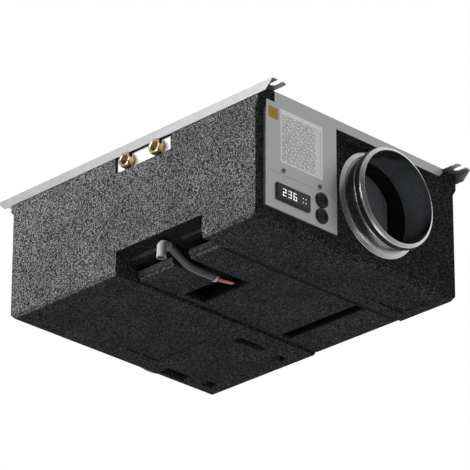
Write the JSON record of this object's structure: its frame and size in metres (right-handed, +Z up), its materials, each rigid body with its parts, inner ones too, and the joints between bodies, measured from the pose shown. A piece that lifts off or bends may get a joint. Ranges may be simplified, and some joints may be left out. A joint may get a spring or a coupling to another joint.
{
  "type": "ducted air dryer",
  "caption": "Flat ceiling-mounted ducted air dryer: foam casing under a slotted sheet plate, round duct spigots, control panel, pleated filter, fan, coils and hermetic compressor inside.",
  "frame": {"origin": "centre of the bounding box in plan, on the plane of the casing's underside", "axes": "+X from the water couplings' side to the right side, +Y along the air flow from the front spigot to the back spigot, +Z up to the ceiling plate"},
  "size_m": [0.481, 0.672, 0.23],
  "materials": {
    "foam": "charcoal moulded foam with fine skin",
    "dark_foam": "black moulded foam",
    "galvanised": "galvanised sheet, satin",
    "pale_plate": "pale painted sheet",
    "brass": "turned brass, polished",
    "copper": "bare copper tube",
    "aluminium": "plain aluminium fins",
    "rubber": "black rubber",
    "black_plastic": "black plastic, satin",
    "grey_plastic": "grey plastic, matt",
    "hose_grey": "mid-grey hose and elbow",
    "window": "dark glossy window",
    "steel": "zinc-plated steel",
    "black_paint": "black paint, satin",
    "board": "green circuit board",
    "media": "pleated filter cloth"
  },
  "bodies": {
    "unit": {"accumulator": "black_paint", "accumulator_strap": "steel", "back_spigot": "galvanised", "back_spigot_gasket": "rubber", "cable_grommet_lower": "rubber", "cable_grommet_upper": "rubber", "capillary_tube": "copper", "casing": "foam", "casing_lid": "dark_foam", "circuit_board": "board", "compressor": "black_paint", "compressor_base": "black_paint", "compressor_foot_1": "rubber", "compressor_foot_2": "rubber", "compressor_foot_3": "rubber", "condenser": "aluminium", "connection_plate": "pale_plate", "discharge_line": "copper", "display_housing": "black_plastic", "display_window": "window", "drain_elbow": "hose_grey", "drain_hose": "hose_grey", "drain_nipple": "copper", "drain_pan": "black_plastic", "electrical_box": "steel", "evaporator": "aluminium", "fan_motor": "black_paint", "fan_scroll": "black_plastic", "filter_drier": "copper", "front_spigot": "galvanised", "front_spigot_gasket": "rubber", "hose_clip": "steel", "liquid_line": "copper", "panel_screw_left": "steel", "panel_screw_right": "steel", "run_capacitor": "grey_plastic", "service_cover": "galvanised", "suction_elbow": "copper", "suction_line": "copper", "terminal_block": "grey_plastic", "terminal_cover": "black_plastic", "top_plate": "galvanised", "transformer": "steel", "water_coil": "aluminium", "water_coupling_back": "brass", "water_coupling_front": "brass", "water_pipe_back": "copper", "water_pipe_front": "copper"},
    "fan": {"fan_wheel": "black_plastic", "fan_shaft": "steel"},
    "filter": {"filter_hatch": "foam", "filter_frame": "black_plastic", "filter_media": "media"},
    "cover": {"middle_cover": "foam"}
  },
  "joints": [
    {"name": "fan_spin", "type": "hinge", "parent": "unit", "child": "fan", "pos_m": [0.059, 0.146, 0.114], "axis": [0, 0, 1], "continuous": true},
    {"name": "filter_draw", "type": "slide", "parent": "unit", "child": "filter", "axis": [0, 0, -1], "range_m": [0, 0.2]},
    {"name": "cover_drop", "type": "slide", "parent": "unit", "child": "cover", "axis": [0, 0, -1], "range_m": [0, 0.06]}
  ]
}
